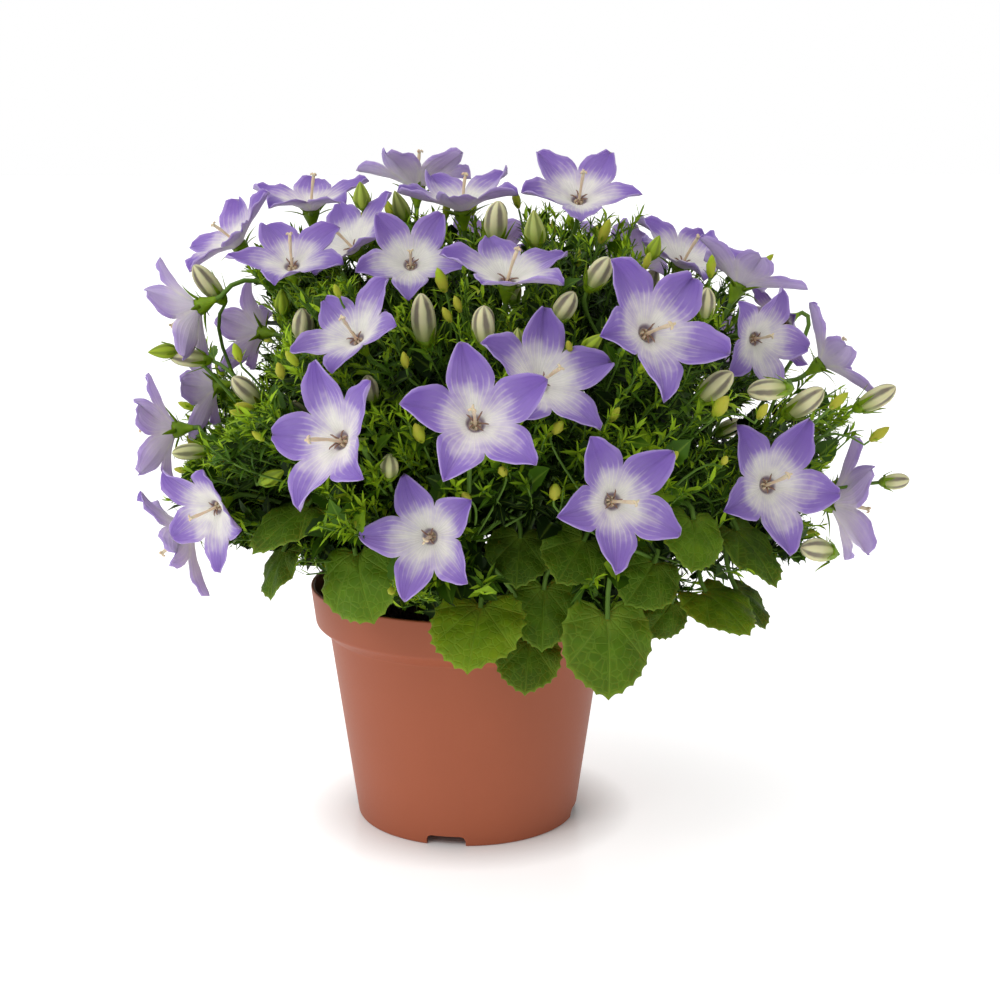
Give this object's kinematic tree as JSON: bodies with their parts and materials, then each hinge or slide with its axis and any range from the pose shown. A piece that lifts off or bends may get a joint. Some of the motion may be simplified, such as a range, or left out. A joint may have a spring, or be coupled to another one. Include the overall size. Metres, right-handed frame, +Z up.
{
  "type": "potted italian bellflower",
  "caption": "Italian bellflower in a plain terracotta-coloured plastic nursery pot: a dense dome of small leaves covered in violet and white star-shaped blooms and buds.",
  "frame": {"origin": "centre of the pot's underside, on the surface that it stands on", "axes": "+Z up along the pot's axis; -Y is the side that the picture shows"},
  "size_m": [0.2899, 0.2628, 0.2569],
  "materials": {
    "pot": "matte",
    "soil": "matte",
    "petal": "matte",
    "leaf": "satin"
  },
  "bodies": {
    "root": {"pot": "pot", "soil": "soil", "bloom_01": "petal", "bloom_02": "petal", "bloom_03": "petal", "bloom_04": "petal", "bloom_05": "petal", "bloom_06": "petal", "bloom_07": "petal", "bloom_08": "petal", "bloom_09": "petal", "bloom_10": "petal", "bloom_11": "petal", "bloom_12": "petal", "bloom_13": "petal", "bloom_14": "petal", "bloom_15": "petal", "bloom_16": "petal", "bloom_17": "petal", "bloom_18": "petal", "bloom_19": "petal", "bloom_20": "petal", "bloom_21": "petal", "bloom_22": "petal", "bloom_23": "petal", "bloom_24": "petal", "bloom_25": "petal", "bloom_26": "petal", "bloom_27": "petal", "bloom_28": "petal", "bloom_29": "petal", "bloom_30": "petal", "bloom_31": "petal", "bloom_32": "petal", "bloom_33": "petal", "bloom_34": "petal", "bloom_35": "petal", "bloom_36": "petal", "bloom_37": "petal", "bloom_38": "petal", "bloom_39": "petal", "leafy_stem_01": "leaf", "leafy_stem_02": "leaf", "leafy_stem_03": "leaf", "leafy_stem_04": "leaf", "leafy_stem_05": "leaf", "leafy_stem_06": "leaf", "leafy_stem_07": "leaf", "leafy_stem_08": "leaf", "leafy_stem_09": "leaf", "leafy_stem_10": "leaf", "leafy_stem_11": "leaf", "leafy_stem_12": "leaf", "leafy_stem_13": "leaf", "leafy_stem_14": "leaf", "leafy_stem_15": "leaf", "leafy_stem_16": "leaf"}
  },
  "joints": []
}
